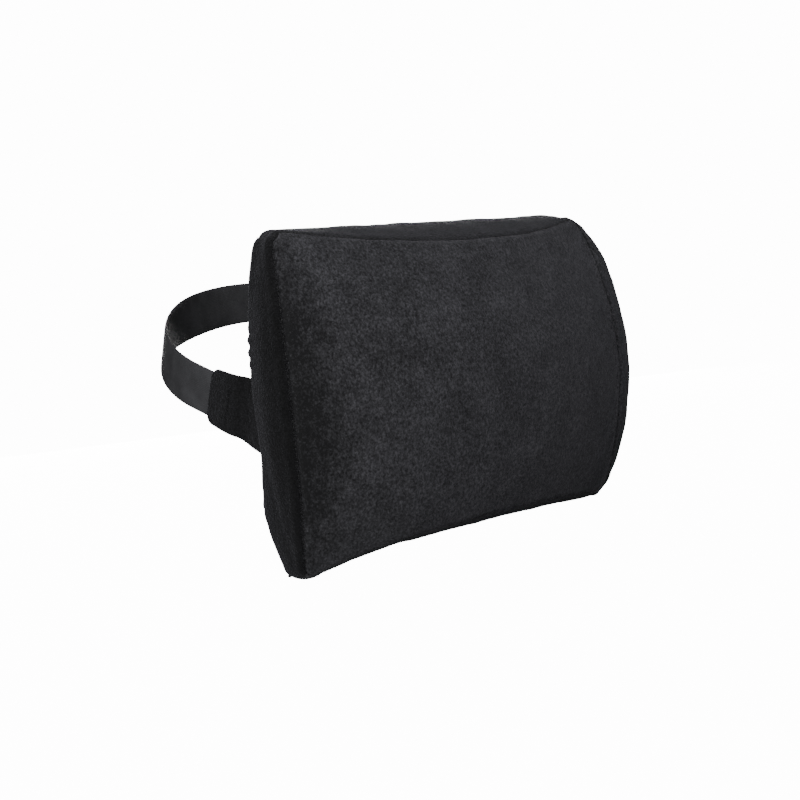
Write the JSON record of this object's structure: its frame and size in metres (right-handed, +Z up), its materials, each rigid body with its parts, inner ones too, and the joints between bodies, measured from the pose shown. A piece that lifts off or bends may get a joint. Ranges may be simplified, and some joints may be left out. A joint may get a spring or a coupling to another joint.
{
  "type": "lumbar support cushion",
  "caption": "Crowned foam lumbar cushion in a zipped plush cover, with an elastic strap loop and a hook-and-loop tab for a chair back.",
  "frame": {"origin": "centre of the flat back face, which lies against the chair's back", "axes": "+X to the right seen from the front, along the cushion's width; +Y out of the back face, towards the chair; +Z up"},
  "size_m": [0.3187, 0.2471, 0.194],
  "materials": {
    "foam": "open-cell memory foam, pale cream, matt",
    "plush": "short dense black plush pile with soft mottling",
    "back_knit": "smooth black polyester knit",
    "zip_tape": "woven black zip tape",
    "zip_nylon": "satin black nylon coil",
    "zip_metal": "dark gunmetal, satin",
    "label": "plain white woven label, blank",
    "elastic": "smooth black ribbed elastic webbing",
    "loop_pile": "black looped fastener pile",
    "thread": "black polyester thread",
    "hook": "black moulded fastener hooks"
  },
  "bodies": {
    "cushion": {"foam_core": "foam", "cover_front": "plush", "cover_gusset_top": "plush", "cover_gusset_bottom": "plush", "cover_gusset_left": "plush", "cover_gusset_right": "plush", "cover_back_upper": "back_knit", "cover_back_lower": "back_knit", "zip_tape_upper": "zip_tape", "zip_tape_lower": "zip_tape", "zip_coil_upper": "zip_nylon", "zip_coil_lower": "zip_nylon", "zip_top_stop_upper": "zip_metal", "zip_top_stop_lower": "zip_metal", "zip_bottom_stop": "zip_metal", "care_label": "label"},
    "slider": {"zip_slider": "zip_metal"},
    "pull": {"zip_pull": "zip_metal"},
    "strap": {"strap_webbing": "elastic", "strap_loop_patch": "loop_pile", "strap_bar_tack": "thread", "tab_right": "plush"},
    "tab": {"tab_left": "plush", "tab_hook_patch": "hook", "tab_bar_tack": "thread"}
  },
  "joints": [
    {"name": "zip_slide", "type": "slide", "parent": "cushion", "child": "slider", "axis": [-1, 0, 0], "range_m": [0, 0.22], "deforming": ["zip_coil_upper", "zip_coil_lower", "zip_tape_upper", "zip_tape_lower"]},
    {"name": "pull_swing", "type": "hinge", "parent": "slider", "child": "pull", "pos_m": [0.1128, 0.0026, -0.06], "axis": [0, 0, -1], "range_deg": [0, 180]},
    {"name": "strap_swing", "type": "hinge", "parent": "cushion", "child": "strap", "pos_m": [0.1525, 0.002, -0.006], "axis": [0, 0, -1], "range_deg": [0, 75]},
    {"name": "tab_swing", "type": "hinge", "parent": "cushion", "child": "tab", "pos_m": [-0.1525, 0.002, -0.006], "axis": [0, 0, 1], "range_deg": [0, 70]}
  ]
}
